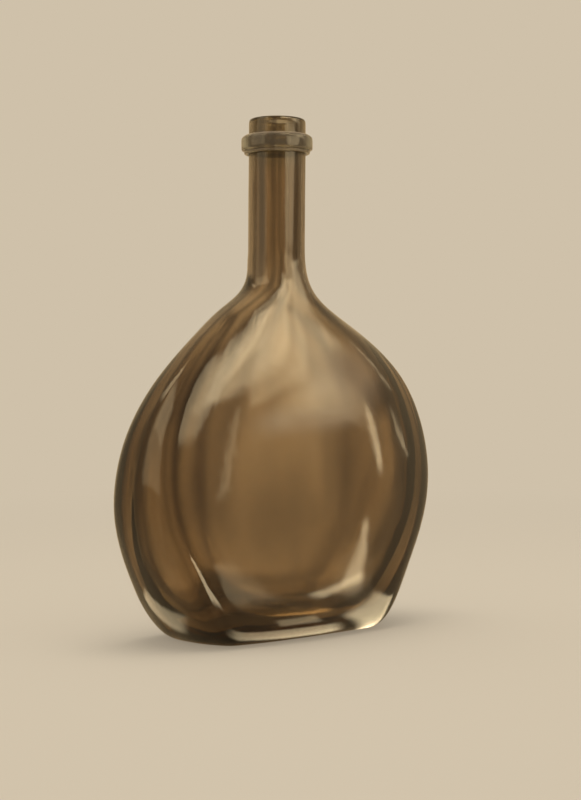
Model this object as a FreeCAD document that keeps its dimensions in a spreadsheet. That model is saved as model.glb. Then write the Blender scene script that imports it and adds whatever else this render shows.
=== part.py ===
import FreeCAD, Part
import math
import os
import Sketcher

# Free-blown flattened glass flask with a long neck, a fire-polished lip and an applied string ring.
# Millimetres. X is the width, Y the depth with the front panel towards -Y, and Z is up.
# The origin is on the table plane, on the axis of the neck, at the middle of the flask's width and depth.

doc = FreeCAD.newDocument("Flask")

# Driving sizes
sizes = {
    # vessel
    "body_height": 176.0,
    "body_half_width": 84.0,
    "body_half_depth": 38.0,
    "wall": 4.0,
    "floor_glass": 8.0,
    "heel_round": 8.0,
    "inner_heel_round": 4.0,
    # neck and lip
    "neck_length": 62.0,
    "neck_radius": 13.4,
    "bore_radius": 9.4,
    "lip_round": 1.4,
    # push-up in the foot
    "kick_radius": 16.0,
    "kick_height": 7.0,
    "kick_glass": 6.0,
    # string ring round the neck
    "ring_below_lip": 7.0,
    "ring_radius": 16.6,
    "shoulder_drop": 2.1,
    "band_height": 5.8,
    "band_round": 0.5,
    "bead_height": 1.6,
    "bead_radius": 15.4,
    # broken glass left by the pontil rod
    "scar_outer_radius": 8.5,
    "scar_inner_radius": 5.5,
    "scar_thickness": 1.2,
    # working length past a face
    "overrun": 1.0,
}
ring_tilt_degrees = 1.2

# Oval sections of the body from the foot up to the shoulder.
# up is a share of the body height, width and lean of its half width, depth, side and ridge of its half depth.
# side is the radius of the rounded end, and ridge that of the soft corner where it turns into a panel.
# bend is half the turn of the end's arc in degrees, and lean is how far the section stands off the neck.
oval_shares = [
    {"up": 0.00, "width": 0.655, "depth": 0.830, "side": 1.45, "ridge": 0.340, "bend": 23, "lean": -0.045},
    {"up": 0.07, "width": 0.718, "depth": 0.905, "side": 1.65, "ridge": 0.310, "bend": 22, "lean": -0.050},
    {"up": 0.17, "width": 0.835, "depth": 0.970, "side": 1.80, "ridge": 0.290, "bend": 18.5, "lean": -0.042},
    {"up": 0.30, "width": 0.963, "depth": 1.000, "side": 1.75, "ridge": 0.320, "bend": 14.5, "lean": -0.016},
    {"up": 0.43, "width": 1.000, "depth": 0.985, "side": 1.50, "ridge": 0.330, "bend": 13, "lean": 0.010},
    {"up": 0.57, "width": 0.940, "depth": 0.905, "side": 1.10, "ridge": 0.320, "bend": 12, "lean": 0.038},
    {"up": 0.69, "width": 0.782, "depth": 0.785, "side": 0.73, "ridge": 0.290, "bend": 12, "lean": 0.056},
    {"up": 0.79, "width": 0.543, "depth": 0.642, "side": 0.48, "ridge": 0.265, "bend": 11, "lean": 0.030},
    {"up": 0.86, "width": 0.308, "depth": 0.500, "side": 0.52, "ridge": 0.316, "bend": 14.5, "lean": -0.012},
]

# Round sections where the shoulder runs into the neck: shares of the body height and of the neck radius.
round_shares = [
    {"up": 0.910, "radius": 1.190},
    {"up": 0.955, "radius": 1.035},
    {"up": 1.000, "radius": 1.000},
]

# Where the eight arcs of a round section meet, from the +X side; the last place is the first again.
round_stop_degrees = [-20, 20, 50, 130, 160, 200, 230, 310, 340]

# Rounding of the heel, outside and inside: shares of the rounding, up from the foot and in from its section
heel_shares = [
    {"up": 0.00, "in": 1.00},
    {"up": 0.15, "in": 0.48},
    {"up": 0.50, "in": 0.08},
]

foot_section = oval_shares[0]
outer_sections = oval_shares[1:]
# the second section lies too close above the floor to shape the inside
inner_sections = oval_shares[2:]

# The buried end of the glass over the push-up, as a share of the floor's thickness
kick_root_share = 0.5

sheet = doc.addObject("Spreadsheet::Sheet", "Sizes")
for row, (alias, number) in enumerate(sizes.items(), start=1):
    sheet.set(f"A{row}", alias)
    sheet.set(f"B{row}", str(number))
    sheet.setAlias(f"B{row}", alias)
doc.recompute()

# the sketcher numbers a curve's start, end and centre upwards from 1, and its two axes downwards from -1
start, end, centre = range(1, 4)
x_axis, y_axis = range(-1, -3, -1)


def vector(x, y, z=0):
    return FreeCAD.Vector(x, y, z)


def share_of(size, share):
    # a share of a named size: its number now and its expression on the sheet
    return sizes[size] * share, f"Sizes.{size} * {share}"


def new_body(label):
    body = doc.addObject("PartDesign::Body", label)
    body.Label = label
    return body


def new_sketch(body, name, plane, height=None, lean=None):
    # a sketch on one of the body's own origin planes, lifted and moved sideways by sheet expressions
    sketch = body.newObject("Sketcher::SketchObject", name)
    plane_feature = next(f for f in body.Origin.OriginFeatures if f.Role == plane)
    sketch.AttachmentSupport = [(plane_feature, "")]
    sketch.MapMode = "FlatFace"
    if height:
        sketch.setExpression("AttachmentOffset.Base.z", height)
    if lean:
        sketch.setExpression("AttachmentOffset.Base.x", lean)
    return sketch


def dimension(sketch, name, kind, expression, number, *places):
    # a named size constraint that follows the sheet
    index = sketch.addConstraint(Sketcher.Constraint(kind, *places, number))
    sketch.renameConstraint(index, name)
    sketch.setExpression(f"Constraints.{name}", expression)


def from_origin(sketch, name, kind, expression, number, curve, place):
    # the same, measured from the sketch's origin
    dimension(sketch, name, kind, expression, number, x_axis, start, curve, place)


def arc(x, y, radius, first, last):
    return Part.ArcOfCircle(Part.Circle(vector(x, y), vector(0, 0, 1), radius), first, last)


def oval_sketch(body, name, shares, height, inset=(0, "0")):
    # eight tangent arcs: two ends, two panels and four soft ridges between them, all drawn in by the inset
    half_width, width_rule = share_of("body_half_width", shares["width"])
    half_depth, depth_rule = share_of("body_half_depth", shares["depth"])
    side, side_rule = share_of("body_half_depth", shares["side"])
    ridge, ridge_rule = share_of("body_half_depth", shares["ridge"])
    lean_rule = share_of("body_half_width", shares["lean"])[1]
    low = math.radians(shares["bend"])
    turn_x = math.cos(low)
    turn_y = math.sin(low)

    # the ridge's arc touches the end's arc, and the panel's arc touches the ridge's
    ridge_x = half_width - side + (side - ridge) * turn_x
    ridge_y = (side - ridge) * turn_y
    ridge_x_rule = f"({width_rule} - {side_rule} + ({side_rule} - {ridge_rule}) * {turn_x})"
    rise = half_depth - ridge_y
    rise_rule = f"({depth_rule} - ({side_rule} - {ridge_rule}) * {turn_y})"
    face = (ridge_x ** 2 + rise ** 2 - ridge ** 2) / (2 * (rise - ridge))
    square_rule = f"({ridge_x_rule} ^ 2 + {rise_rule} ^ 2 - ({ridge_rule}) ^ 2)"
    face_rule = f"{square_rule} / (2 * ({rise_rule} - {ridge_rule}))"
    side_centre = half_width - side
    side_centre_rule = f"{width_rule} - {side_rule}"
    face_centre = half_depth - face
    face_centre_rule = f"{depth_rule} - {face_rule}"
    high = math.atan2(ridge_y - face_centre, ridge_x)

    inset_number, inset_rule = inset
    side = side - inset_number
    ridge = ridge - inset_number
    face = face - inset_number
    sketch = new_sketch(body, name, "XY_Plane", height, lean_rule)
    half_turn = math.pi
    full_turn = 2 * math.pi
    arcs = [
        arc(side_centre, 0, side, -low, low),
        arc(ridge_x, ridge_y, ridge, low, high),
        arc(0, face_centre, face, high, half_turn - high),
        arc(-ridge_x, ridge_y, ridge, half_turn - high, half_turn - low),
        arc(-side_centre, 0, side, half_turn - low, half_turn + low),
        arc(-ridge_x, -ridge_y, ridge, half_turn + low, half_turn + high),
        arc(0, -face_centre, face, half_turn + high, full_turn - high),
        arc(ridge_x, -ridge_y, ridge, full_turn - high, full_turn - low),
    ]
    sketch.addGeometry(arcs, False)
    for index in range(8):
        following = (index + 1) % 8
        sketch.addConstraint(Sketcher.Constraint("Tangent", index, end, following, start))
    for index in (0, 4):
        sketch.addConstraint(Sketcher.Constraint("PointOnObject", index, centre, x_axis))
    for index in (2, 6):
        sketch.addConstraint(Sketcher.Constraint("PointOnObject", index, centre, y_axis))
    for index in (3, 5, 7):
        sketch.addConstraint(Sketcher.Constraint("Equal", 1, index))
    sketch.addConstraint(Sketcher.Constraint("Equal", 0, 4))
    sketch.addConstraint(Sketcher.Constraint("Equal", 2, 6))
    dimension(sketch, "side_radius", "Radius", f"{side_rule} - ({inset_rule})", side, 0)
    dimension(sketch, "ridge_radius", "Radius", f"{ridge_rule} - ({inset_rule})", ridge, 1)
    dimension(sketch, "face_radius", "Radius", f"{face_rule} - ({inset_rule})", face, 2)
    from_origin(sketch, "right_centre", "DistanceX", side_centre_rule, side_centre, 0, centre)
    from_origin(sketch, "left_centre", "DistanceX", f"-({side_centre_rule})", -side_centre, 4, centre)
    from_origin(sketch, "back_centre", "DistanceY", face_centre_rule, face_centre, 2, centre)
    from_origin(sketch, "front_centre", "DistanceY", f"-({face_centre_rule})", -face_centre, 6, centre)
    return sketch


def round_sketch(body, name, radius, radius_rule, height):
    # a full circle cut into eight arcs, so that it lofts edge to edge with the ovals
    sketch = new_sketch(body, name, "XY_Plane", height)
    spans = list(zip(round_stop_degrees, round_stop_degrees[1:]))
    for first, last in spans:
        sketch.addGeometry(arc(0, 0, radius, math.radians(first), math.radians(last)), False)
    for index in range(8):
        sketch.addConstraint(Sketcher.Constraint("Coincident", index, centre, x_axis, start))
    for index in range(7):
        sketch.addConstraint(Sketcher.Constraint("Coincident", index, end, index + 1, start))
    sketch.addConstraint(Sketcher.Constraint("Vertical", 0, start, 0, end))
    for index, (first, last) in enumerate(spans):
        sketch.addConstraint(Sketcher.Constraint("Angle", index, math.radians(last - first)))
    dimension(sketch, "section_radius", "Radius", radius_rule, radius, 0)
    return sketch


def height_rule(shares):
    return share_of("body_height", shares["up"])[1]


def edge_names(shape, wanted):
    return [f"Edge{number}" for number, edge in enumerate(shape.Edges, start=1) if wanted(edge)]


def lies_at(edge, height):
    box = edge.BoundBox
    return abs(box.ZMin - height) < tolerance and abs(box.ZMax - height) < tolerance


def add_fillet(body, name, base, edges, radius):
    fillet = body.newObject("PartDesign::Fillet", name)
    fillet.Base = (base, edges)
    fillet.Radius = sizes[radius]
    fillet.setExpression("Radius", f"Sizes.{radius}")
    doc.recompute()
    return fillet


tolerance = 1e-4

# Vessel: the blown outside
flask = new_body("flask_body")
outer = []
for number, shares in enumerate(heel_shares, start=1):
    up_rule = share_of("heel_round", shares["up"])[1]
    inset = share_of("heel_round", shares["in"])
    outer.append(oval_sketch(flask, f"outer_heel_{number}", foot_section, up_rule, inset))
for number, shares in enumerate(outer_sections, start=1):
    outer.append(oval_sketch(flask, f"outer_oval_{number}", shares, height_rule(shares)))
for number, shares in enumerate(round_shares, start=1):
    radius, radius_rule = share_of("neck_radius", shares["radius"])
    outer.append(round_sketch(flask, f"outer_round_{number}", radius, radius_rule, height_rule(shares)))
doc.recompute()

blown_outside = flask.newObject("PartDesign::AdditiveLoft", "blown_outside")
blown_outside.Profile = outer[0]
blown_outside.Sections = outer[1:]
doc.recompute()

# Vessel: the hollow inside, from the floor to the foot of the neck
body_wall = (sizes["wall"], "Sizes.wall")
inner = []
for number, shares in enumerate(heel_shares, start=1):
    up_rule = "Sizes.floor_glass + " + share_of("inner_heel_round", shares["up"])[1]
    inset, inset_rule = share_of("inner_heel_round", shares["in"])
    inset = (inset + sizes["wall"], f"{inset_rule} + Sizes.wall")
    inner.append(oval_sketch(flask, f"inner_heel_{number}", foot_section, up_rule, inset))
for number, shares in enumerate(inner_sections, start=1):
    inner.append(oval_sketch(flask, f"inner_oval_{number}", shares, height_rule(shares), body_wall))
neck_wall = sizes["neck_radius"] - sizes["bore_radius"]
for number, shares in enumerate(round_shares, start=1):
    radius, radius_rule = share_of("neck_radius", shares["radius"])
    radius = radius - neck_wall
    radius_rule = f"{radius_rule} - (Sizes.neck_radius - Sizes.bore_radius)"
    inner.append(round_sketch(flask, f"inner_round_{number}", radius, radius_rule, height_rule(shares)))
doc.recompute()

blown_inside = flask.newObject("PartDesign::SubtractiveLoft", "blown_inside")
blown_inside.Profile = inner[0]
blown_inside.Sections = inner[1:]
doc.recompute()

# Vessel: the glass pushed up over the kick, then the kick itself
foot_lean = share_of("body_half_width", foot_section["lean"])[1]
kick_rule = "(Sizes.kick_radius ^ 2 + Sizes.kick_height ^ 2) / (2 * Sizes.kick_height)"
kick_sphere = (sizes["kick_radius"] ** 2 + sizes["kick_height"] ** 2) / (2 * sizes["kick_height"])
kick_centre = sizes["kick_height"] - kick_sphere
kick_centre_rule = f"Sizes.kick_height - {kick_rule}"


def dome_sketch(body, name, top, top_rule, foot, foot_rule):
    # half of a spherical cap that stands on a level foot
    sketch = new_sketch(body, name, "XZ_Plane", None, foot_lean)
    radius = top - kick_centre
    rim = math.sqrt(radius ** 2 - (foot - kick_centre) ** 2)
    first = math.atan2(foot - kick_centre, rim)
    sketch.addGeometry(arc(0, kick_centre, radius, first, math.pi / 2), False)
    sketch.addGeometry(Part.LineSegment(vector(0, top), vector(0, foot)), False)
    sketch.addGeometry(Part.LineSegment(vector(0, foot), vector(rim, foot)), False)
    for index in range(3):
        following = (index + 1) % 3
        sketch.addConstraint(Sketcher.Constraint("Coincident", index, end, following, start))
    sketch.addConstraint(Sketcher.Constraint("PointOnObject", 0, centre, y_axis))
    sketch.addConstraint(Sketcher.Constraint("PointOnObject", 1, start, y_axis))
    sketch.addConstraint(Sketcher.Constraint("PointOnObject", 1, end, y_axis))
    sketch.addConstraint(Sketcher.Constraint("Horizontal", 2))
    from_origin(sketch, "sphere_centre", "DistanceY", kick_centre_rule, kick_centre, 0, centre)
    from_origin(sketch, "top", "DistanceY", top_rule, top, 1, start)
    from_origin(sketch, "foot", "DistanceY", foot_rule, foot, 1, end)
    return sketch


dome_top = sizes["kick_height"] + sizes["kick_glass"]
dome_foot, dome_foot_rule = share_of("floor_glass", kick_root_share)
dome_top_rule = "Sizes.kick_height + Sizes.kick_glass"
dome = dome_sketch(flask, "dome_profile", dome_top, dome_top_rule, dome_foot, dome_foot_rule)
raised_floor = flask.newObject("PartDesign::Revolution", "raised_floor")
raised_floor.Profile = dome
raised_floor.ReferenceAxis = (dome, ["V_Axis"])
doc.recompute()

kick = dome_sketch(flask, "kick_profile", sizes["kick_height"], "Sizes.kick_height", 0, "0")
kick_up = flask.newObject("PartDesign::Groove", "kick_up")
kick_up.Profile = kick
kick_up.ReferenceAxis = (kick, ["V_Axis"])
doc.recompute()

# Vessel: the drawn neck and its fire-polished lip
neck_sketch = new_sketch(flask, "neck_rings", "XY_Plane", "Sizes.body_height")
for index, radius in enumerate(("neck_radius", "bore_radius")):
    neck_sketch.addGeometry(Part.Circle(vector(0, 0), vector(0, 0, 1), sizes[radius]), False)
    neck_sketch.addConstraint(Sketcher.Constraint("Coincident", index, centre, x_axis, start))
    dimension(neck_sketch, radius, "Radius", f"Sizes.{radius}", sizes[radius], index)
neck = flask.newObject("PartDesign::Pad", "neck")
neck.Profile = neck_sketch
neck.setExpression("Length", "Sizes.neck_length")
doc.recompute()

total_height = sizes["body_height"] + sizes["neck_length"]
lip_edges = edge_names(neck.Shape, lambda edge: lies_at(edge, total_height))
lip = add_fillet(flask, "lip", neck, lip_edges, "lip_round")


# String ring: the applied collar, turned up slightly crooked on the neck
ring_height_rule = "Sizes.bead_height + Sizes.band_height + Sizes.shoulder_drop"
ring_blank = new_body("ring_blank")
profile = new_sketch(ring_blank, "ring_profile", "XZ_Plane")
bead_round = sizes["bead_height"] / 2
bead_centre = sizes["bead_radius"] - bead_round
band_foot = sizes["bead_height"]
band_top = band_foot + sizes["band_height"]
hidden = sizes["neck_radius"] - sizes["overrun"]
shoulder_width = sizes["ring_radius"] - sizes["neck_radius"]
shoulder_round = (shoulder_width ** 2 + sizes["shoulder_drop"] ** 2) / (2 * shoulder_width)
width_rule = "(Sizes.ring_radius - Sizes.neck_radius)"
shoulder_rule = f"({width_rule} ^ 2 + Sizes.shoulder_drop ^ 2) / (2 * {width_rule})"
shoulder_centre = sizes["ring_radius"] - shoulder_round
# the shoulder's arc runs on past the neck's surface, to the hidden radius
shoulder_turn = math.acos((hidden - shoulder_centre) / shoulder_round)
outline = [
    Part.LineSegment(vector(hidden, 0), vector(bead_centre, 0)),
    arc(bead_centre, bead_round, bead_round, -math.pi / 2, math.pi / 2),
    Part.LineSegment(vector(bead_centre, band_foot), vector(sizes["ring_radius"], band_foot)),
    Part.LineSegment(vector(sizes["ring_radius"], band_foot), vector(sizes["ring_radius"], band_top)),
    arc(shoulder_centre, band_top, shoulder_round, 0, shoulder_turn),
    Part.LineSegment(vector(hidden, band_top + shoulder_round * math.sin(shoulder_turn)), vector(hidden, 0)),
]
under, bead, band_under, band, shoulder, back = range(6)
profile.addGeometry(outline, False)
for first, second in ((under, bead), (bead, band_under), (band_under, band), (shoulder, back), (back, under)):
    profile.addConstraint(Sketcher.Constraint("Coincident", first, end, second, start))
profile.addConstraint(Sketcher.Constraint("Tangent", band, end, shoulder, start))
for line in (under, band_under):
    profile.addConstraint(Sketcher.Constraint("Horizontal", line))
for line in (band, back):
    profile.addConstraint(Sketcher.Constraint("Vertical", line))
for place in (start, end):
    profile.addConstraint(Sketcher.Constraint("Vertical", bead, centre, bead, place))
profile.addConstraint(Sketcher.Constraint("PointOnObject", under, start, x_axis))
hidden_rule = "Sizes.neck_radius - Sizes.overrun"
bead_rule = "Sizes.bead_radius - Sizes.bead_height / 2"
from_origin(profile, "hidden_radius", "DistanceX", hidden_rule, hidden, under, start)
dimension(profile, "bead_round", "Radius", "Sizes.bead_height / 2", bead_round, bead)
from_origin(profile, "bead_centre", "DistanceX", bead_rule, bead_centre, bead, centre)
from_origin(profile, "ring", "DistanceX", "Sizes.ring_radius", sizes["ring_radius"], band, start)
dimension(profile, "band", "DistanceY", "Sizes.band_height", sizes["band_height"], band, start, band, end)
dimension(profile, "shoulder_round", "Radius", shoulder_rule, shoulder_round, shoulder)
doc.recompute()

collar = ring_blank.newObject("PartDesign::Revolution", "collar")
collar.Profile = profile
collar.ReferenceAxis = (profile, ["V_Axis"])
doc.recompute()


def is_band_foot(edge):
    outer_edge = abs(edge.BoundBox.XMax - sizes["ring_radius"]) < tolerance
    return outer_edge and lies_at(edge, band_foot)


band_edges = edge_names(collar.Shape, is_band_foot)
add_fillet(ring_blank, "band_foot_round", collar, band_edges, "band_round")

ring_seat = "Sizes.body_height + Sizes.neck_length - Sizes.ring_below_lip - (" + ring_height_rule + ")"
ring_blank.Placement = FreeCAD.Placement(vector(0, 0), FreeCAD.Rotation(vector(0, -1, 0), ring_tilt_degrees))
ring_blank.setExpression("Placement.Base.z", ring_seat)

neck_core = doc.addObject("Part::Cylinder", "neck_core")
neck_core.setExpression("Radius", "Sizes.neck_radius")
neck_core.setExpression("Height", "Sizes.neck_length")
neck_core.setExpression("Placement.Base.z", "Sizes.body_height")

string_ring = doc.addObject("Part::Cut", "string_ring")
string_ring.Label = "string_ring"
string_ring.Base = ring_blank
string_ring.Tool = neck_core
doc.recompute()

# Pontil scar: the rough ring of glass left under the push-up, against its dome
scar = new_body("pontil_scar")
scar_sketch = new_sketch(scar, "scar_profile", "XZ_Plane", None, foot_lean)
scar_under = kick_sphere - sizes["scar_thickness"]


def angle_out(radius, out):
    return math.acos(out / radius)


far = sizes["scar_outer_radius"]
near = sizes["scar_inner_radius"]
upper = arc(0, kick_centre, kick_sphere, angle_out(kick_sphere, far), angle_out(kick_sphere, near))
lower = arc(0, kick_centre, scar_under, angle_out(scar_under, far), angle_out(scar_under, near))
scar_sketch.addGeometry(upper, False)
scar_sketch.addGeometry(lower, False)
scar_sketch.addGeometry(Part.LineSegment(lower.StartPoint, upper.StartPoint), False)
scar_sketch.addGeometry(Part.LineSegment(lower.EndPoint, upper.EndPoint), False)
scar_sketch.addConstraint(Sketcher.Constraint("Coincident", 2, start, 1, start))
scar_sketch.addConstraint(Sketcher.Constraint("Coincident", 2, end, 0, start))
scar_sketch.addConstraint(Sketcher.Constraint("Coincident", 3, start, 1, end))
scar_sketch.addConstraint(Sketcher.Constraint("Coincident", 3, end, 0, end))
scar_sketch.addConstraint(Sketcher.Constraint("Coincident", 0, centre, 1, centre))
scar_sketch.addConstraint(Sketcher.Constraint("PointOnObject", 0, centre, y_axis))
for line in (2, 3):
    scar_sketch.addConstraint(Sketcher.Constraint("Vertical", line))
scar_under_rule = f"{kick_rule} - Sizes.scar_thickness"
from_origin(scar_sketch, "sphere_centre", "DistanceY", kick_centre_rule, kick_centre, 0, centre)
dimension(scar_sketch, "sphere_radius", "Radius", kick_rule, kick_sphere, 0)
dimension(scar_sketch, "under_radius", "Radius", scar_under_rule, scar_under, 1)
from_origin(scar_sketch, "outer_radius", "DistanceX", "Sizes.scar_outer_radius", far, 2, start)
from_origin(scar_sketch, "inner_radius", "DistanceX", "Sizes.scar_inner_radius", near, 3, start)
doc.recompute()
broken_ring = scar.newObject("PartDesign::Revolution", "broken_ring")
broken_ring.Profile = scar_sketch
broken_ring.ReferenceAxis = (scar_sketch, ["V_Axis"])
doc.recompute()

# Every object is checked before a file is written.
for feature in doc.Objects:
    faults = {"Invalid", "Error"}.intersection(feature.State)
    if faults:
        raise RuntimeError(f"{feature.Name} is {sorted(faults)}")

nodes = [flask, string_ring, scar]
for node in nodes:
    if node.Shape.isNull() or not node.Shape.isValid():
        raise RuntimeError(f"{node.Label} has no valid shape")
    if len(node.Shape.Solids) != 1:
        raise RuntimeError(f"{node.Label} has {len(node.Shape.Solids)} solids")

os.makedirs("parts", exist_ok=True)
for node in nodes:
    node.Shape.exportStep(f"parts/{node.Label}.step")
    print(node.Label, "volume", round(node.Shape.Volume), "mm3")
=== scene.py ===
import math
import bpy
from mathutils import Matrix, Vector


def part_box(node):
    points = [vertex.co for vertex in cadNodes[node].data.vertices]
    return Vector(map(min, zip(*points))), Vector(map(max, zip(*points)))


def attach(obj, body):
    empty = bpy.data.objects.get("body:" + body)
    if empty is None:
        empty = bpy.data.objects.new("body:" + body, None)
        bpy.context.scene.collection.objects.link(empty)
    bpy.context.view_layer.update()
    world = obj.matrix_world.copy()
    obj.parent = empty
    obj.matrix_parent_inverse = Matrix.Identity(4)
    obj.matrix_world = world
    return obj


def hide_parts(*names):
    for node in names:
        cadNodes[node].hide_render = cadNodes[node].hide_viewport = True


# A free-blown flattened glass flask: one vessel with its neck and lip, a string ring laid round the
# neck, and the ring of glass that the pontil rod left under the foot. Metres, with +Z up.
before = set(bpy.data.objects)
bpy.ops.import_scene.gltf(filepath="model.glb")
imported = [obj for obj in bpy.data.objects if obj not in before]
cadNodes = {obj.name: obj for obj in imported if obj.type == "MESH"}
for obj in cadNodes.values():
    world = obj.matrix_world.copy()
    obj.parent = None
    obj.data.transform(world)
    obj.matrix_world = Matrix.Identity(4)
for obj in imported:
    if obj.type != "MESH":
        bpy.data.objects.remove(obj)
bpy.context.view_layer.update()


# Picking and shaping

def deselectEverything():
    if bpy.context.object and bpy.context.object.mode != "OBJECT":
        bpy.ops.object.mode_set(mode="OBJECT")
    bpy.ops.object.select_all(action="DESELECT")


def pick(thing):
    deselectEverything()
    thing.select_set(True)
    bpy.context.view_layer.objects.active = thing


def applyModifier(thing, kind, **settings):
    pick(thing)
    modifier = thing.modifiers.new(kind.title(), kind)
    for name, value in settings.items():
        setattr(modifier, name, value)
    bpy.ops.object.modifier_apply(modifier=modifier.name)


def smooth(thing):
    # glass is smooth all over, whatever the angle between its faces
    pick(thing)
    bpy.ops.object.shade_smooth_by_angle(angle=math.pi)


def startRing(name, sides, place):
    # a closed ring of edges to pull a piece from, left in edit mode with all of it picked
    deselectEverything()
    bpy.ops.mesh.primitive_circle_add(vertices=sides, radius=1, location=(0, 0, 0))
    ring = bpy.context.object
    ring.name = name
    ring.data.name = name
    bpy.ops.object.mode_set(mode="EDIT")
    bpy.ops.mesh.select_mode(type="VERT")
    bpy.ops.mesh.select_all(action="SELECT")
    bpy.ops.transform.resize(value=(place["halfWidth"], place["halfDepth"], 1), center_override=(0, 0, 0))
    bpy.ops.transform.translate(value=(place["x"], place["y"], place["z"]))
    return ring


def pullRing(last, place):
    # the picked ring of edges is extruded to its next place and drawn to its next width and depth
    step = [place[axis] - last[axis] for axis in "xyz"]
    bpy.ops.mesh.extrude_region_move(TRANSFORM_OT_translate={"value": step})
    growth = (place["halfWidth"] / last["halfWidth"], place["halfDepth"] / last["halfDepth"], 1)
    bpy.ops.transform.resize(value=growth, center_override=(place["x"], place["y"], place["z"]))


def pullShell(name, sides, places):
    # a skin of quads through all the places; each end stays open
    shell = startRing(name, sides, places[0])
    for last, place in zip(places, places[1:]):
        pullRing(last, place)
    bpy.ops.object.mode_set(mode="OBJECT")
    return shell


def pickRings(shell, sides, *numbers):
    # the rings of those numbers, counted from the first, are left picked in edit mode
    pick(shell)
    bpy.ops.object.mode_set(mode="EDIT")
    bpy.ops.mesh.select_mode(type="VERT")
    bpy.ops.mesh.select_all(action="DESELECT")
    bpy.ops.object.mode_set(mode="OBJECT")
    for number in numbers:
        for vertex in shell.data.vertices[number * sides:(number + 1) * sides]:
            vertex.select = True
    bpy.ops.object.mode_set(mode="EDIT")


def closeRing(shell, sides, number):
    # an open ring is drawn together into one point
    pickRings(shell, sides, number)
    bpy.ops.mesh.extrude_region_move()
    bpy.ops.mesh.merge(type="CENTER")
    bpy.ops.object.mode_set(mode="OBJECT")


def outwardFaces(thing):
    pick(thing)
    bpy.ops.object.mode_set(mode="EDIT")
    bpy.ops.mesh.select_all(action="SELECT")
    bpy.ops.mesh.normals_make_consistent(inside=False)
    bpy.ops.object.mode_set(mode="OBJECT")


def nameVertices(thing, name, members, weigh=None):
    group = thing.vertex_groups.new(name=name)
    for member in members:
        weight = weigh(thing.data.vertices[member].co) if weigh else 1
        group.add([member], weight, "REPLACE")


def rise(value, start, end):
    # 0 before start, 1 after end
    return max(0.0, min(1.0, (value - start) / (end - start)))


def roundPlace(radius, z, x=0.0):
    return {"halfWidth": radius, "halfDepth": radius, "x": x, "y": 0.0, "z": z}


def between(low, high, count):
    return [low + (high - low) * number / (count - 1) for number in range(count)]


def layOn(thing, guide, group):
    # a group of vertices goes to the nearest point of a guide
    applyModifier(thing, "SHRINKWRAP", target=guide, vertex_group=group, wrap_method="NEAREST_SURFACEPOINT")


def ripples(name, size):
    # soft clouds that a Displace modifier reads
    texture = bpy.data.textures.new(name, "CLOUDS")
    texture.noise_scale = size
    texture.noise_depth = 1
    return texture


# The vessel

vessel = {
    "sides": 56,
    "weldDistance": 1e-7,
    # faces this level or more, under these heights, belong to the kick outside and to the dome inside
    "levelNormal": 0.5,
    "kickHeight": 0.0072,
    "domeHeight": 0.0132,
    # where rings of edges lie: heights and steps, then pairs of radius and height, but of half width and
    # half depth in flatRings
    "bodyFoot": 0.0135,
    "hollowFoot": 0.0205,
    "neckFoot": 0.176,
    "neckGap": 0.006,
    "bodyStep": 0.0075,
    "neckStep": 0.009,
    "heelHeights": [0.0008, 0.0022, 0.0045, 0.008],
    "innerHeelHeights": [0.0142, 0.0112, 0.0092, 0.0083],
    "footInset": 0.0022,
    "flatRings": [(0.019, 0.0178), (0.033, 0.0205)],
    "kickRings": [(0.004, 0.0066), (0.008, 0.0053), (0.0118, 0.0034), (0.0145, 0.0014), (0.0162, 0.0001)],
    "domeRings": [(0.0192, 0.0081), (0.0165, 0.0094), (0.0125, 0.0112), (0.008, 0.0124), (0.004, 0.0129)],
    "floorRing": {"z": 0.008, "halfWidth": 0.034, "halfDepth": 0.0215},
    "lipDepth": 0.0019,
    "lipInset": 0.0005,
    "lipDrop": 0.0004,
    "insideRounding": {"factor": 0.5, "iterations": 45},
    "roundingTop": (0.12, 0.15),
    "outsideWaves": {"size": 0.045, "depth": 0.0004},
    "insideWaves": {"size": 0.03, "depth": 0.0012},
}

# the neck was never blown quite straight: it turns over this height, in degrees about each axis
lean = {
    "from": 0.18,
    "degrees": {"Y": -0.6, "X": -0.5},
}


def splitShell(node, name, keepOutside):
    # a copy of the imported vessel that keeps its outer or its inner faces
    deselectEverything()
    shell = node.copy()
    shell.data = node.data.copy()
    shell.name = name
    shell.parent = None
    bpy.context.collection.objects.link(shell)
    pick(shell)
    bpy.ops.object.mode_set(mode="EDIT")
    bpy.ops.mesh.select_all(action="SELECT")
    bpy.ops.mesh.remove_doubles(threshold=vessel["weldDistance"])
    bpy.ops.mesh.select_all(action="DESELECT")
    bpy.ops.object.mode_set(mode="OBJECT")
    for face in shell.data.polygons:
        outward = face.normal.x * face.center.x + face.normal.y * face.center.y
        if face.center.z < vessel["kickHeight"] and face.normal.z < -vessel["levelNormal"]:
            outward = 1
        if face.center.z < vessel["domeHeight"] and face.normal.z > vessel["levelNormal"]:
            outward = -1
        face.select = (outward < 0) == keepOutside
    bpy.ops.object.mode_set(mode="EDIT")
    bpy.ops.mesh.select_mode(type="FACE")
    bpy.ops.mesh.delete(type="FACE")
    bpy.ops.object.mode_set(mode="OBJECT")
    return shell


def outlinePlaces(shell, heights):
    # where a shell's outline lies at each height, from the edges that cross it
    corners = [vertex.co.copy() for vertex in shell.data.vertices]
    edges = [tuple(edge.vertices) for edge in shell.data.edges]
    places = []
    for height in heights:
        xs = []
        ys = []
        for first, second in edges:
            a = corners[first]
            b = corners[second]
            if (a.z - height) * (b.z - height) < 0:
                point = a.lerp(b, (height - a.z) / (b.z - a.z))
                xs.append(point.x)
                ys.append(point.y)
        places.append({
            "halfWidth": (max(xs) - min(xs)) / 2,
            "halfDepth": (max(ys) - min(ys)) / 2,
            "x": (max(xs) + min(xs)) / 2,
            "y": (max(ys) + min(ys)) / 2,
            "z": height,
        })
    return places


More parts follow.
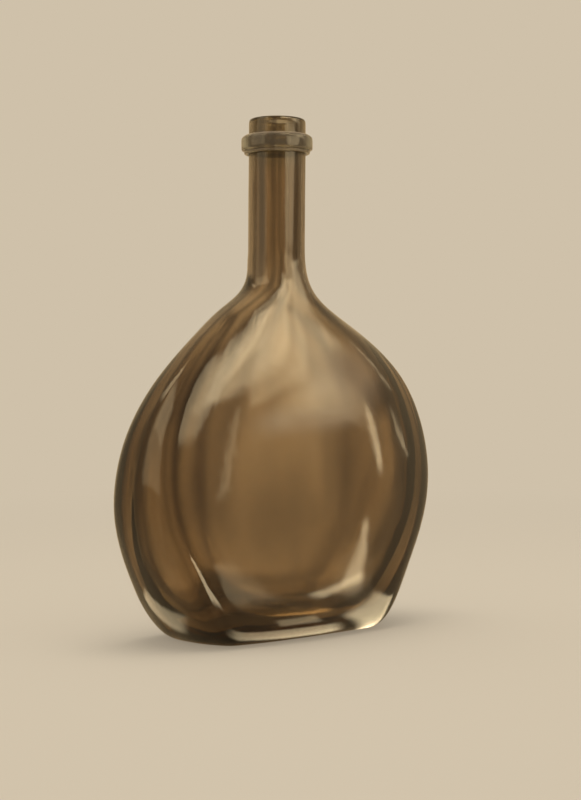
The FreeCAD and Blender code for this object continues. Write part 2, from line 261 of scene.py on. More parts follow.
def vesselPlaces(outside, inside):
    # ring by ring: out from the kick to the heel and up the outside, then over the lip and down the inside
    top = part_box("flask_body")[1].z
    lipFoot = top - vessel["lipDepth"]
    lipHeight = top - vessel["lipDrop"]
    neckFoot = vessel["neckFoot"]
    neckStart = neckFoot + vessel["neckGap"]
    bodyCount = round(neckFoot / vessel["bodyStep"])
    neckCount = round((top - neckFoot) / vessel["neckStep"])
    outerHeights = vessel["heelHeights"] + between(vessel["bodyFoot"], neckFoot, bodyCount)
    outerHeights += between(neckStart, lipFoot, neckCount)
    outer = outlinePlaces(outside, outerHeights)
    hollowHeights = between(lipFoot, neckStart, neckCount)
    hollowHeights += between(neckFoot, vessel["hollowFoot"], bodyCount - 1) + vessel["innerHeelHeights"]
    hollow = outlinePlaces(inside, hollowHeights)
    foot = dict(outer[0], z=0.0)
    foot["halfWidth"] -= vessel["footInset"]
    foot["halfDepth"] -= vessel["footInset"]
    kick = [roundPlace(radius, height, foot["x"]) for radius, height in vessel["kickRings"]]
    dome = [roundPlace(radius, height, foot["x"]) for radius, height in vessel["domeRings"]]
    flat = [dict(foot, halfWidth=width, halfDepth=depth) for width, depth in vessel["flatRings"]]
    neckRadius = outer[-1]["halfWidth"]
    boreRadius = hollow[0]["halfWidth"]
    brim = roundPlace(neckRadius - vessel["lipInset"], lipHeight)
    crest = roundPlace((neckRadius + boreRadius) / 2, top)
    mouth = roundPlace(boreRadius + vessel["lipInset"], lipHeight)
    floor = dict(hollow[-1], **vessel["floorRing"])
    return kick + flat + [foot] + outer + [brim, crest], [mouth] + hollow + [floor] + dome


def leanNeck(thing):
    pick(thing)
    bpy.ops.object.mode_set(mode="EDIT")
    bpy.ops.mesh.select_mode(type="VERT")
    bpy.ops.mesh.select_all(action="DESELECT")
    bpy.ops.object.mode_set(mode="OBJECT")
    for vertex in thing.data.vertices:
        vertex.select = vertex.co.z > lean["from"]
    bpy.ops.object.mode_set(mode="EDIT")
    for axis, degrees in lean["degrees"].items():
        bpy.ops.transform.rotate(
            value=math.radians(degrees), orient_axis=axis, center_override=(0, 0, lean["from"]))
    bpy.ops.object.mode_set(mode="OBJECT")


def makeVessel():
    node = cadNodes["flask_body"]
    sides = vessel["sides"]
    guides = {
        "outside": splitShell(node, "outsideGuide", True),
        "inside": splitShell(node, "insideGuide", False),
    }
    outer, inner = vesselPlaces(guides["outside"], guides["inside"])
    glass = pullShell("flask_glass", sides, outer + inner)
    split = len(outer) * sides
    count = len(glass.data.vertices)
    nameVertices(glass, "outside", range(split))
    nameVertices(glass, "inside", range(split, count))
    # the hollow is rounded in the body and left as it is in the neck
    top = vessel["roundingTop"]
    nameVertices(glass, "hollow", range(split, count), lambda place: 1 - rise(place.z, *top))
    closeRing(glass, sides, len(outer) + len(inner) - 1)
    closeRing(glass, sides, 0)
    for side, guide in guides.items():
        layOn(glass, guide, side)
    applyModifier(glass, "SMOOTH", vertex_group="hollow", **vessel["insideRounding"])
    applyModifier(glass, "SUBSURF", levels=1, render_levels=1)
    # smoothing draws the ridges in, so the outside is laid on its guide once more
    layOn(glass, guides["outside"], "outside")
    for guide in guides.values():
        bpy.data.objects.remove(guide)
    outwardFaces(glass)
    for side in ("outside", "inside"):
        waves = vessel[side + "Waves"]
        applyModifier(glass, "DISPLACE", texture=ripples(side + "Waves", waves["size"]), vertex_group=side,
                      strength=waves["depth"], mid_level=1, texture_coords="LOCAL")
    applyModifier(glass, "SUBSURF", levels=1, render_levels=1)
    leanNeck(glass)
    smooth(glass)
    print("vessel of", len(outer) + len(inner), "rings and", len(glass.data.polygons), "faces")
    return glass


# The string ring

collar = {
    "sides": 64,
    "tiltDegrees": 1.2,
    # radius and height above the ring's foot
    "profile": [
        (0.01345, 0.0000), (0.0146, 0.0000), (0.0152, 0.0002), (0.0154, 0.0008), (0.0152, 0.0014),
        (0.0147, 0.0017), (0.0155, 0.0017), (0.0162, 0.0018), (0.0166, 0.0022), (0.0166, 0.0045),
        (0.0166, 0.0071), (0.0163, 0.0077), (0.0151, 0.0087), (0.01345, 0.0095),
    ],
}


def makeCollar():
    low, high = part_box("string_ring")
    sides = collar["sides"]
    foot = (low.z + high.z) / 2 - collar["profile"][-1][1] / 2
    places = [roundPlace(radius, foot + height) for radius, height in collar["profile"]]
    ring = pullShell("string_ring_glass", sides, places)
    pickRings(ring, sides, 0, len(places) - 1)
    bpy.ops.mesh.bridge_edge_loops()
    bpy.ops.mesh.select_all(action="SELECT")
    bpy.ops.transform.rotate(
        value=math.radians(collar["tiltDegrees"]), orient_axis="Y", center_override=(0, 0, foot))
    bpy.ops.object.mode_set(mode="OBJECT")
    applyModifier(ring, "SUBSURF", levels=2, render_levels=2)
    outwardFaces(ring)
    smooth(ring)
    leanNeck(ring)
    print("string ring of", len(ring.data.polygons), "faces")
    return ring


# The pontil scar

scar = {
    "sides": 48,
    # radius, and height over the scar's foot, or under its top where it is negative
    "profile": [
        (0.0055, -0.0002), (0.0057, 0.0010), (0.0070, 0.0003), (0.0083, 0.0001), (0.0085, 0.0009),
        (0.0070, -0.0007),
    ],
}


def makeScar():
    low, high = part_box("pontil_scar")
    sides = scar["sides"]
    middle = (low.x + high.x) / 2
    places = []
    for radius, height in scar["profile"]:
        start = low.z if height > 0 else high.z
        places.append(roundPlace(radius, start + height, middle))
    ring = pullShell("pontil_scar_glass", sides, places)
    pickRings(ring, sides, 0, len(places) - 1)
    bpy.ops.mesh.bridge_edge_loops()
    bpy.ops.object.mode_set(mode="OBJECT")
    applyModifier(ring, "SUBSURF", levels=2, render_levels=2)
    outwardFaces(ring)
    smooth(ring)
    print("pontil scar of", len(ring.data.polygons), "faces")
    return ring


# Shader maths

class Value:
    # a socket of a material, the world or a lamp; sums on it add Math nodes
    def __init__(self, maker, socket):
        self.maker = maker
        self.socket = socket

    def sum(self, operation, first, second):
        return self.maker.node("ShaderNodeMath", {"operation": operation}, {0: first, 1: second})

    def __add__(self, other):
        return self.sum("ADD", self, other)

    def __radd__(self, other):
        return self.sum("ADD", other, self)

    def __sub__(self, other):
        return self.sum("SUBTRACT", self, other)

    def __rsub__(self, other):
        return self.sum("SUBTRACT", other, self)

    def __mul__(self, other):
        return self.sum("MULTIPLY", self, other)

    def __rmul__(self, other):
        return self.sum("MULTIPLY", other, self)

    def __abs__(self):
        return self.sum("ABSOLUTE", self, 0)


class Maker:
    def __init__(self, tree):
        self.tree = tree
        tree.nodes.clear()

    def node(self, kind, settings=None, inputs=None, output=0):
        made = self.tree.nodes.new(kind)
        for name, setting in (settings or {}).items():
            setattr(made, name, setting)
        for key, value in (inputs or {}).items():
            if isinstance(value, Value):
                self.tree.links.new(value.socket, made.inputs[key])
            else:
                made.inputs[key].default_value = value
        return Value(self, made.outputs[output]) if made.outputs else made

    def mix(self, factor, first, second, blend="MIX"):
        # colours, blended by a factor
        return self.node("ShaderNodeMix", {"data_type": "RGBA", "blend_type": blend},
                         {"Factor": factor, 6: first, 7: second}, output=2)

    def stain(self, share, colour, stain):
        # a colour multiplied by a stain, as far as share says
        return self.mix(share, colour, self.mix(1, colour, stain, "MULTIPLY"))

    def split(self, vector):
        # the three numbers of a vector
        made = self.node("ShaderNodeSeparateXYZ", None, {0: vector})
        return [Value(self, output) for output in made.socket.node.outputs]

    def join(self, x, y, z):
        return self.node("ShaderNodeCombineXYZ", None, {0: x, 1: y, 2: z})

    def level(self, x, y):
        # the level direction of x and y, with a length of 1
        return self.node("ShaderNodeVectorMath", {"operation": "NORMALIZE"}, {0: self.join(x, y, 0)})

    def length(self, vector):
        return self.node("ShaderNodeVectorMath", {"operation": "LENGTH"}, {0: vector}, "Value")

    def towards(self, level, azimuth):
        # the cosine between a level direction and an azimuth in degrees
        turn = math.radians(azimuth)
        return self.node("ShaderNodeVectorMath", {"operation": "DOT_PRODUCT"},
                         {0: level, 1: (math.sin(turn), -math.cos(turn), 0)}, "Value")

    def fade(self, value, start, end):
        # 0 before start, 1 after end, smooth between them
        return self.node("ShaderNodeMapRange", {"interpolation_type": "SMOOTHSTEP"},
                         {"Value": value, "From Min": start, "From Max": end})

    def hump(self, value, centre, halfWidth):
        # 1 at the centre, fading to 0 at half the width each side
        return 1 - self.fade(abs(value - centre), 0, halfWidth)

    def spot(self, x, z, middle, radii, solid=0.2):
        # 1 in an oval spot's middle, fading to 0 at its edge; radii is how many of its radii make a metre,
        # and solid is how much of its radius stays at 1
        across = (x - middle[0]) * radii[0]
        along = (z - middle[1]) * radii[1]
        return 1 - self.fade(self.length(self.join(across, along, 0)), solid, 1)

    def noise(self, vector, scale, detail=2.0, roughness=0.5):
        return self.node("ShaderNodeTexNoise", {"normalize": True},
                         {"Vector": vector, "Scale": scale, "Detail": detail, "Roughness": roughness})


def newMaterial(name):
    material = bpy.data.materials.new(name)
    material.use_nodes = True
    return material, Maker(material.node_tree)


def dress(thing, material):
    thing.data.materials.clear()
    thing.data.materials.append(material)


# Glass

glassLook = {
    # lost is how much red, green and blue a metre of the glass takes, tint is what each wall's skin takes,
    # rough is its roughness, paintedHighlightEdges are the heights of painted highlight lines from the ring's
    # middle, and the rest say how much of each feature below the glass has; ridges is painted shade, and
    # dustAndSheenFilm is partly dust and partly painted sheen
    "body": {
        "lost": (40, 56, 82), "tint": (0.77, 0.67, 0.52, 1), "rough": 0.03, "haze": 0.11, "cords": 0.5,
        "ridges": 1, "ripple": 0.25, "dust": 0.014, "dustAndSheenFilm": 0.2, "paintedHighlightEdges": ()},
    "ring": {
        "lost": (30, 34, 55), "tint": (0.97, 0.95, 0.88, 1), "rough": 0.03, "haze": 0, "cords": 0.5,
        "ridges": 0, "ripple": 0.2, "dust": 0.10, "dustAndSheenFilm": 0, "paintedHighlightEdges": (0.0034, -0.0040)},
    "scar": {
        "lost": (40, 56, 82), "tint": (0.77, 0.67, 0.52, 1), "rough": 0.3, "haze": 0.3, "cords": 0.3,
        "ridges": 0, "ripple": 1, "dust": 0.15, "dustAndSheenFilm": 0, "paintedHighlightEdges": ()},
    "refraction": 1.5,
    "densityMargin": 1.2,
    # from which height to which the body turns into the neck, and the neck into the lip
    "neckFade": (0.145, 0.182),
    "neckTint": (0.78, 0.73, 0.66, 1),
    "lipFade": (0.212, 0.222),
    "lipTint": (0.86, 0.90, 0.88, 1),
    # how far sideways the glass faces where a panel ends, and how far forward of the middle its front starts
    "panelFade": (0.2, 0.5),
    "frontFade": (0, 0.01),
}

cordAndShadeLook = {
    # cords drawn out with the bubble: fine ones all round, stretched up the flask and weaker off the neck
    "halfWidth": 0.084,
    "halfDepth": 0.038,
    "stretch": 3.5,
    "noise": {"scale": 5.5, "detail": 3, "roughness": 0.6},
    "fade": (0.42, 0.68),
    "offNeck": 0.3,
    "tint": (0.34, 0.29, 0.25, 1),
    # and painted shade stripes down the neck, by the azimuth the glass faces: azimuth in degrees, half width
    # and strength
    "down": [
        (-90, 0.26, 0.3), (-71, 0.16, 0.8), (-47, 0.13, 0.6), (9, 0.28, 0.95),
        (130, 0.20, 0.3), (175, 0.15, 0.3),
    ],
}

ridgeShadeLook = {
    # painted shade: dark lines along the ridges and on the side faces, by how far sideways the glass faces on
    # either side of this middle: distance from it, half width and strength
    "middle": -0.07,
    "lines": [(0.43, 0.15, 1), (0.68, 0.10, 0.5)],
    "edge": (0.98, 0.995),
    "edgeFoot": (0.02, 0.035),
    "edgeStrength": 0.9,
    # one more left of the front panel, and one on the left face, by how far backwards that faces
    "leftLine": (-0.34, 0.09, 0.6),
    "faceLine": (0.18, 0.2, 0.5),
    "face": (0.8, 0.95),
    "leftFoot": (0.04, 0.06),
    # clouds that break the lines, and a painted dark reflection high on the front
    "noise": {"scale": 14, "detail": 2},
    "fade": (0.35, 0.6),
    "steady": 0.7,
    "patch": {"middle": (0.038, 0.108), "radii": (55, 75)},
    "patchStrength": 0.7,
    "tint": (0.19, 0.15, 0.13, 1),
}

lowShadeLook = {
    # painted shade, darker low on the panels and in a band over the foot: height and half width, and how far
    # sideways the glass faces where the first starts
    "panel": (0.05, 0.04),
    "panelStart": (-0.3, -0.12),
    "panelStrength": 0.6,
    "foot": (0.0155, 0.008),
    "tint": (0.55, 0.52, 0.48, 1),
}

surfaceLook = {
    # patches of haze from age, and ripples with fine lines along the cords
    "hazeNoise": {"scale": 22, "detail": 3},
    "hazeFade": (0.4, 0.7),
    "hazeSteady": 0.5,
    "waveNoise": {"scale": 60, "detail": 2},
    "lineNoise": {"scale": 14, "detail": 2},
    "lineShare": 0.3,
    "waveDepth": 0.0006,
}

dustAndSheenLook = {
    # old dust, with painted highlight lines along the ring's edges, and a soft patch and a band high on the
    # front that are partly dust and partly painted sheen; dustAndSheenBand is the band's height and half
    # width
    "colour": (0.72, 0.56, 0.38, 1),
    "edge": 0.12,
    "edgeHalfWidth": 0.001,
    "stretch": 2.5,
    "noise": {"scale": 20, "detail": 1, "roughness": 0.4},
    "fade": (0.3, 0.65),
    "patch": {"middle": (0.018, 0.118), "radii": (32, 46)},
    "steady": 0.7,
    "bandSlope": 0.06,
    "dustAndSheenBand": (0.0998, 0.009),
    "bandMiddle": -0.01,
    "bandFade": (0.012, 0.04),
}


def readSurface(maker):
    # where each point of the glass lies, and which way it faces
    place = maker.node("ShaderNodeTexCoord", output="Object")
    x, y, z = maker.split(place)
    facing = maker.split(maker.node("ShaderNodeTexCoord", output="Normal"))
    level = maker.level(*facing[:2])
    sideways, backwards = maker.split(level)[:2]
    around = maker.split(maker.level(x * (1 / cordAndShadeLook["halfWidth"]), y * (1 / cordAndShadeLook["halfDepth"])))
    return {
        "place": place,
        "x": x,
        "y": y,
        "z": z,
        "level": level,
        "sideways": sideways,
        "backwards": backwards,
        "alongCords": maker.join(around[0], around[1], z * cordAndShadeLook["stretch"]),
        "onNeck": maker.fade(z, *glassLook["neckFade"]),
        "onPanel": 1 - maker.fade(abs(sideways), *glassLook["panelFade"]),
    }


def frontShare(maker, at):
    return maker.fade(-1 * at["y"], *glassLook["frontFade"])


def cordAndShadeShares(maker, at, strength):
    # how much of the fine cords, and of the painted shade stripes down the neck, each point has
    fine = maker.fade(maker.noise(at["alongCords"], **cordAndShadeLook["noise"]), *cordAndShadeLook["fade"])
    fine = fine * (strength * (cordAndShadeLook["offNeck"] + (1 - cordAndShadeLook["offNeck"]) * at["onNeck"]))
    dark = 0
    for azimuth, halfWidth, share in cordAndShadeLook["down"]:
        towards = maker.towards(at["level"], azimuth)
        dark = maker.fade(towards, 1 - halfWidth * halfWidth / 2, 1) * share + dark
    return fine, dark * at["onNeck"]


# painted shade along the ridges and on the side faces, and a painted dark reflection high on the front
def paintedRidgeShade(maker, at):
    sideways = at["sideways"]
    ridge = abs(sideways - ridgeShadeLook["middle"])
    onEdge = maker.fade(abs(sideways), *ridgeShadeLook["edge"]) * maker.fade(at["z"], *ridgeShadeLook["edgeFoot"])
    lines = ridgeShadeLook["edgeStrength"] * onEdge
    for middle, halfWidth, share in ridgeShadeLook["lines"]:
        lines = share * maker.hump(ridge, middle, halfWidth) + lines
    middle, halfWidth, share = ridgeShadeLook["leftLine"]
    left = share * maker.hump(sideways, middle, halfWidth)
    middle, halfWidth, share = ridgeShadeLook["faceLine"]
    onFace = maker.fade(-1 * sideways, *ridgeShadeLook["face"])
    left = share * maker.hump(at["backwards"], middle, halfWidth) * onFace + left
    lines = left * maker.fade(at["z"], *ridgeShadeLook["leftFoot"]) + lines
    clouds = maker.fade(maker.noise(at["place"], **ridgeShadeLook["noise"]), *ridgeShadeLook["fade"])
    broken = ridgeShadeLook["steady"] + (1 - ridgeShadeLook["steady"]) * clouds
    patch = maker.spot(at["x"], at["z"], **ridgeShadeLook["patch"]) * frontShare(maker, at)
    return (lines * broken + ridgeShadeLook["patchStrength"] * patch) * (1 - at["onNeck"])


# painted shade low on the panels and over the foot
def paintedLowShade(maker, at):
    panel = maker.hump(at["z"], *lowShadeLook["panel"]) * maker.fade(at["sideways"], *lowShadeLook["panelStart"])
    return (lowShadeLook["panelStrength"] * panel + maker.hump(at["z"], *lowShadeLook["foot"])) * at["onPanel"]


# dust all over, painted highlight lines along the ring's edges, and a film high on the front that is partly
# dust and partly painted sheen
def dustAndSheenShare(maker, at, look):
    low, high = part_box("string_ring")
    share = look["dust"]
    # painted highlight lines along the ring's edges
    for offset in look["paintedHighlightEdges"]:
        height = (low.z + high.z) / 2 + offset
        share = dustAndSheenLook["edge"] * maker.hump(at["z"], height, dustAndSheenLook["edgeHalfWidth"]) + share
    # a film high on the front, partly dust and partly painted sheen
    if look["dustAndSheenFilm"]:
        x, y, z = at["x"], at["y"], at["z"]
        drawn = maker.join(x, y, z * dustAndSheenLook["stretch"])
        streaky = maker.fade(maker.noise(drawn, **dustAndSheenLook["noise"]), *dustAndSheenLook["fade"])
        patch = maker.spot(x, z, **dustAndSheenLook["patch"])
        dustAndSheenBand = maker.hump(z - dustAndSheenLook["bandSlope"] * x, *dustAndSheenLook["dustAndSheenBand"])
        dustAndSheenBand = dustAndSheenBand * (1 - maker.fade(abs(x - dustAndSheenLook["bandMiddle"]), *dustAndSheenLook["bandFade"]))
        dustAndSheenFilm = patch * (dustAndSheenLook["steady"] + (1 - dustAndSheenLook["steady"]) * streaky) + dustAndSheenBand * streaky
        share = dustAndSheenFilm * frontShare(maker, at) * at["onPanel"] * look["dustAndSheenFilm"] + share
    return share


def tintWall(maker, at, look):
    fine, dark = cordAndShadeShares(maker, at, look["cords"])
    tint = maker.mix(fine, look["tint"], cordAndShadeLook["tint"])
    # painted shade stripes down the neck
    tint = maker.stain(dark, tint, cordAndShadeLook["tint"])
    # painted shade along the ridges
    if look["ridges"]:
        tint = maker.stain(paintedRidgeShade(maker, at) * look["ridges"], tint, ridgeShadeLook["tint"])
    tint = maker.stain(at["onNeck"], tint, glassLook["neckTint"])
    tint = maker.stain(maker.fade(at["z"], *glassLook["lipFade"]), tint, glassLook["lipTint"])
    # painted shade low on the panels and over the foot
    return maker.stain(paintedLowShade(maker, at), tint, lowShadeLook["tint"])


def makeGlass(name, look):
    material, maker = newMaterial(name)
    at = readSurface(maker)
    tint = tintWall(maker, at, look)
    rough = look["rough"]
    if look["haze"]:
        patches = maker.fade(maker.noise(at["place"], **surfaceLook["hazeNoise"]), *surfaceLook["hazeFade"])
        steady = surfaceLook["hazeSteady"]
        rough = rough + look["haze"] * at["onPanel"] * (steady + (1 - steady) * patches)
    waves = maker.noise(at["place"], **surfaceLook["waveNoise"])
    waves = waves + surfaceLook["lineShare"] * maker.noise(at["alongCords"], **surfaceLook["lineNoise"])
    bump = maker.node("ShaderNodeBump", None, {
        "Strength": look["ripple"], "Distance": surfaceLook["waveDepth"], "Height": waves})
    wall = maker.node("ShaderNodeBsdfPrincipled", None, {
        "Base Color": tint,
        "Roughness": rough,
        "IOR": glassLook["refraction"],
        "Transmission Weight": 1,
        "Normal": bump,
    })
    # the dust, which also carries the painted highlight lines on the ring and the painted sheen high on the
    # front
    dust = maker.node("ShaderNodeBsdfDiffuse", None, {"Color": dustAndSheenLook["colour"], "Normal": bump})
    surface = maker.node("ShaderNodeMixShader", None, {0: dustAndSheenShare(maker, at, look), 1: wall, 2: dust})
    density = glassLook["densityMargin"] * max(look["lost"])
    colour = [1 - lost / density for lost in look["lost"]]
    depth = maker.node("ShaderNodeVolumeAbsorption", None, {"Color": (*colour, 1), "Density": density})
    maker.node("ShaderNodeOutputMaterial", None, {"Surface": surface, "Volume": depth})
    return material


# Studio

studio = {
    "backdrop": (0.624, 0.533, 0.402, 1),
    # the backdrop and the lamps as the glass reflects them
    "warmBackdrop": (0.624, 0.45, 0.24, 1),
    "reflected": (1, 0.80, 0.48, 1),
    "black": (0, 0, 0, 1),
    "lamp": (1, 0.98, 0.95),
    "lampDistance": 3.0,
    "aim": (0, 0, 0.1),
    "worldLight": (0.55, 0.55, 0.55, 1),
    "floorRadius": 6.0,
    "floorSides": 64,
    "floorDrop": 0.0002,
    # the floor takes the flask's shadow, and evens out between these distances from it
    "shadowFade": (0.15, 1.1),
    "evenShare": 0.4,
    # the darker sides of the room that only the glass shows: azimuth, half width and fade in degrees, shade
    "darkSides": [(85, 30, 12, 0.42), (-160, 12, 8, 0.6), (-125, 18, 12, 0.6), (-45, 30, 20, 0.6)],
    "darkReflected": 0.5,
    # low cards that only the glass shows, off its surface and faintly through it; they are solid up to
    # these shares of their length and width from the middle
    "gleamShine": 10,
    "gleamThrough": 0.3,
    "gleamSolid": (0.35, 0.25),
    # their middle, length, width, turn in degrees and shine
    "gleams": [
        (0.25, -0.198, 0.50, 0.026, -33, 5.2),
        (0.070, -0.089, 0.10, 0.016, -12, 6.5),
        (0.061, -0.043, 0.082, 0.030, -20, 6.4),
        (-0.018, -0.031, 0.075, 0.010, 0, 3.9),
        (-0.105, -0.108, 0.14, 0.024, 55, 8),
        (-0.006, -0.044, 0.03, 0.012, 0, 2.8),
        (-0.012, -0.240, 0.34, 0.045, 90, 1.8),
        (-0.068, 0.030, 0.07, 0.016, 95, 1.8),
    ],
}


def roomShade(maker, x, y):
    # how much of the backdrop the glass sees in each direction round it
    level = maker.level(x, y)
    room = 1
    for azimuth, halfWidth, fade, shade in studio["darkSides"]:
        towards = maker.towards(level, azimuth)
        start = math.cos(math.radians(halfWidth + fade))
        room = room * (1 - shade * maker.fade(towards, start, math.cos(math.radians(halfWidth))))
    return room


def rayKinds(maker):
    # 1 for rays straight from the camera, for those that come through the glass and for those off it
    direct, through, glossy = (
        maker.node("ShaderNodeLightPath", output=name)
        for name in ("Is Camera Ray", "Is Transmission Ray", "Is Glossy Ray"))
    return direct, through, glossy * (1 - through)


def seenBackdrop(maker, x, y, through, reflected):
    # plain to the camera, with darker sides through the glass, and warm off it
    dark = 1 - roomShade(maker, x, y)
    colour = maker.mix(reflected, studio["backdrop"], studio["warmBackdrop"])
    light = 1 - dark * (through + studio["darkReflected"] * reflected)
    return maker.mix(light, studio["black"], colour)


def makeWorld():
    world = bpy.data.worlds.new("backdropWorld")
    bpy.context.scene.world = world
    world.use_nodes = True
    maker = Maker(world.node_tree)
    x, y = maker.split(maker.node("ShaderNodeTexCoord", output="Generated"))[:2]
    direct, through, reflected = rayKinds(maker)
    seen = seenBackdrop(maker, x, y, through, reflected)
    colour = maker.mix(direct + through + reflected, studio["worldLight"], seen)
    backdrop = maker.node("ShaderNodeBackground", None, {"Color": colour, "Strength": 1})
    maker.node("ShaderNodeOutputWorld", None, {"Surface": backdrop})


def gleamShare(maker, x, y):
    # how bright the low cards are at each point of the floor
    solidLength, solidWidth = studio["gleamSolid"]
    gleam = 0
    for middleX, middleY, length, width, turn, shine in studio["gleams"]:
        angle = math.radians(turn)
        along = (x - middleX) * math.cos(angle) + (y - middleY) * math.sin(angle)
        across = (y - middleY) * math.cos(angle) - (x - middleX) * math.sin(angle)
        ends = maker.fade(abs(along), solidLength * length, length / 2)
        sides = maker.fade(abs(across), solidWidth * width, width / 2)
        gleam = (1 - ends) * (1 - sides) * (shine / studio["gleamShine"]) + gleam
    return gleam


def makeFloor():
    deselectEverything()
    bpy.ops.mesh.primitive_circle_add(
        vertices=studio["floorSides"], radius=studio["floorRadius"], fill_type="NGON")
    floor = bpy.context.object
    floor.name = "floor"
    floor.location.z = -studio["floorDrop"]
    material, maker = newMaterial("plainFloor")
    place = maker.node("ShaderNodeTexCoord", output="Object")
    start, end = studio["shadowFade"]
    even = maker.node("ShaderNodeMapRange", {"interpolation_type": "SMOOTHSTEP"}, {
        "Value": maker.length(place), "From Min": start, "From Max": end, "To Min": studio["evenShare"]})
    x, y = maker.split(place)[:2]
    through, reflected = rayKinds(maker)[1:]
    seen = seenBackdrop(maker, x, y, through, reflected)
    lit = maker.node("ShaderNodeBsdfDiffuse", None, {"Color": seen})
    unlit = maker.node("ShaderNodeEmission", None, {"Color": seen, "Strength": 1})
    plain = maker.node("ShaderNodeMixShader", None, {0: even, 1: lit, 2: unlit})
    gleam = gleamShare(maker, x, y) * (studio["gleamThrough"] * through + reflected)
    glow = maker.node("ShaderNodeEmission", None, {
        "Color": maker.mix(gleam, studio["black"], studio["reflected"]), "Strength": studio["gleamShine"]})
    both = maker.node("ShaderNodeAddShader", None, {0: plain, 1: glow})
    maker.node("ShaderNodeOutputMaterial", None, {"Surface": both})
    dress(floor, material)


lamps = {
    # azimuth round the flask from its front towards +X, height above the horizon and turn about the beam,
    # all in degrees, then metres; soft is the share of the lamp that its soft edges take
    "overhead": {"azimuth": 0, "height": 88, "distance": 1.6, "size": (1.6, 1.6), "shine": 3.9, "soft": 0.5},
    "window": {"azimuth": 9.3, "height": 49, "turn": -15, "size": (1.86, 1.76), "shine": 4.9, "soft": 0.4},
    "highWindow": {"azimuth": 11.5, "height": 52, "turn": -3, "size": (1.3, 0.74), "shine": 2.3, "soft": 0.4},
    "streakWindow": {
        "azimuth": -10.4, "height": 51.5, "turn": -11, "size": (0.80, 3.0), "shine": 3.1, "soft": 0.34},
    "lowWindow": {
        "azimuth": 42, "height": 31.8, "turn": -59, "size": (2.24, 2.6), "shine": 4.6, "soft": 0.87},
    "sideWindow": {"azimuth": 62, "height": 30, "size": (1.3, 0.9), "shine": 2.2, "soft": 0.9},
    "smearWindow": {
        "azimuth": 39.4, "height": 18.3, "turn": -10, "size": (3.5, 0.61), "shine": 2.9, "soft": 0.82},
    "neckCard": {
        "azimuth": 11, "height": 38.7, "distance": 0.192, "size": (0.115, 0.10), "shine": 2.8, "soft": 0.3},
    "neckStrip": {"azimuth": 3, "height": 18, "size": (0.17, 1.6), "shine": 1.9, "soft": 0.4},
    "rightPost": {
        "azimuth": 60.1, "height": 4.4, "distance": 0.298, "size": (0.0185, 0.105), "shine": 5.5,
        "soft": 0.5},
    "rightLine": {"azimuth": 79, "height": 7, "size": (0.14, 0.5), "shine": 2.2, "soft": 0.5},
    "rightCurve": {"azimuth": 87, "height": 20, "size": (0.10, 0.7), "shine": 2, "soft": 0.5},
    "leftWindow": {"azimuth": -151, "height": 47, "size": (0.4, 1.0), "shine": 2.5, "soft": 0.5},
    "ridgeWindow": {"azimuth": -108, "height": 44, "size": (2.9, 1.7), "shine": 2.1, "soft": 0.4},
    "backWindow": {"azimuth": -105, "height": 17, "size": (3.0, 1.6), "shine": 1.0, "soft": 0.2},
}


def softenLamp(light, soft):
    # full in its middle, fading to nothing at its edges
    light.use_nodes = True
    maker = Maker(light.node_tree)
    u, v = maker.split(maker.node("ShaderNodeNewGeometry", output="Parametric"))[:2]
    edge = 1
    for place in (u, 1 - u, v, 1 - v):
        edge = edge * maker.fade(place, 0, soft / 2)
    colour = maker.mix(edge, studio["black"], (1, 1, 1, 1))
    glow = maker.node("ShaderNodeEmission", None, {"Color": colour, "Strength": 1})
    maker.node("ShaderNodeOutputLight", None, {"Surface": glow})


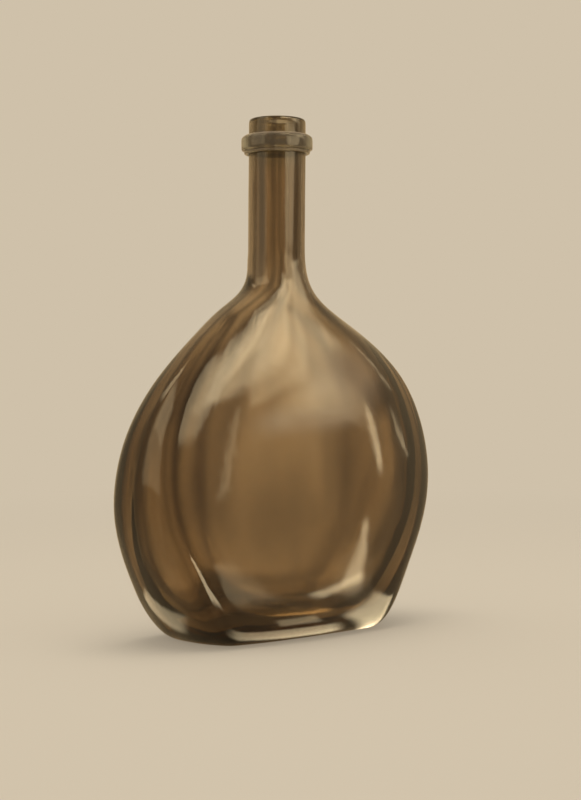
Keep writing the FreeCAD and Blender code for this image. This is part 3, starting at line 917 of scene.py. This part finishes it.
def makeLamps():
    for name, lamp in lamps.items():
        # the overhead lamp lights the floor, and the glass alone shows the others
        reflected = name != "overhead"
        light = bpy.data.lights.new(name, "AREA")
        light.shape = "RECTANGLE"
        light.size, light.size_y = lamp["size"]
        light.energy = lamp["shine"] * math.pi * light.size * light.size_y
        light.color = studio["reflected"][:3] if reflected else studio["lamp"]
        softenLamp(light, lamp["soft"])
        turn = math.radians(lamp["azimuth"])
        lift = math.radians(lamp["height"])
        away = Vector((math.sin(turn) * math.cos(lift), -math.cos(turn) * math.cos(lift), math.sin(lift)))
        aim = (-away).to_track_quat("-Z", "Y").to_matrix()
        aim = aim @ Matrix.Rotation(math.radians(lamp.get("turn", 0)), 3, "Z")
        thing = bpy.data.objects.new(name, light)
        thing.location = Vector(studio["aim"]) + lamp.get("distance", studio["lampDistance"]) * away
        thing.rotation_euler = aim.to_euler()
        thing.visible_camera = False
        thing.visible_transmission = False
        thing.visible_diffuse = not reflected
        thing.visible_glossy = reflected
        bpy.context.collection.objects.link(thing)


view = {
    # degrees and metres; pan, tilt and roll turn the camera from looking level at the flask's axis
    "azimuth": -40,
    "distance": 0.75,
    "height": 0.111,
    "lens": 72.54,
    "pan": 0.451,
    "tilt": -0.267,
    "roll": -0.45,
}


def makeCamera():
    turn = math.radians(view["azimuth"])
    deselectEverything()
    bpy.ops.object.camera_add()
    camera = bpy.context.object
    camera.name = "camera"
    camera.data.lens = view["lens"]
    camera.location = (view["distance"] * math.sin(turn), -view["distance"] * math.cos(turn), view["height"])
    level = Matrix.Rotation(turn - math.radians(view["pan"]), 4, "Z")
    upright = Matrix.Rotation(math.radians(90 + view["tilt"]), 4, "X")
    roll = Matrix.Rotation(math.radians(view["roll"]), 4, "Z")
    camera.rotation_euler = (level @ upright @ roll).to_euler()
    bpy.context.scene.camera = camera


flaskGlass = makeVessel()
collarGlass = makeCollar()
scarGlass = makeScar()
dress(flaskGlass, makeGlass("bodyGlass", glassLook["body"]))
dress(collarGlass, makeGlass("ringGlass", glassLook["ring"]))
dress(scarGlass, makeGlass("scarGlass", glassLook["scar"]))
pieces = [
    (flaskGlass, "flask_body", "body_glass"),
    (collarGlass, "string_ring", "ring_glass"),
    (scarGlass, "pontil_scar", "scar_glass"),
]
for piece, node, slotName in pieces:
    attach(piece, "root")
    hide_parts(node)
print("glass done")

makeWorld()
makeFloor()
makeLamps()
makeCamera()
bpy.context.scene.view_settings.view_transform = "Standard"
print("studio done")
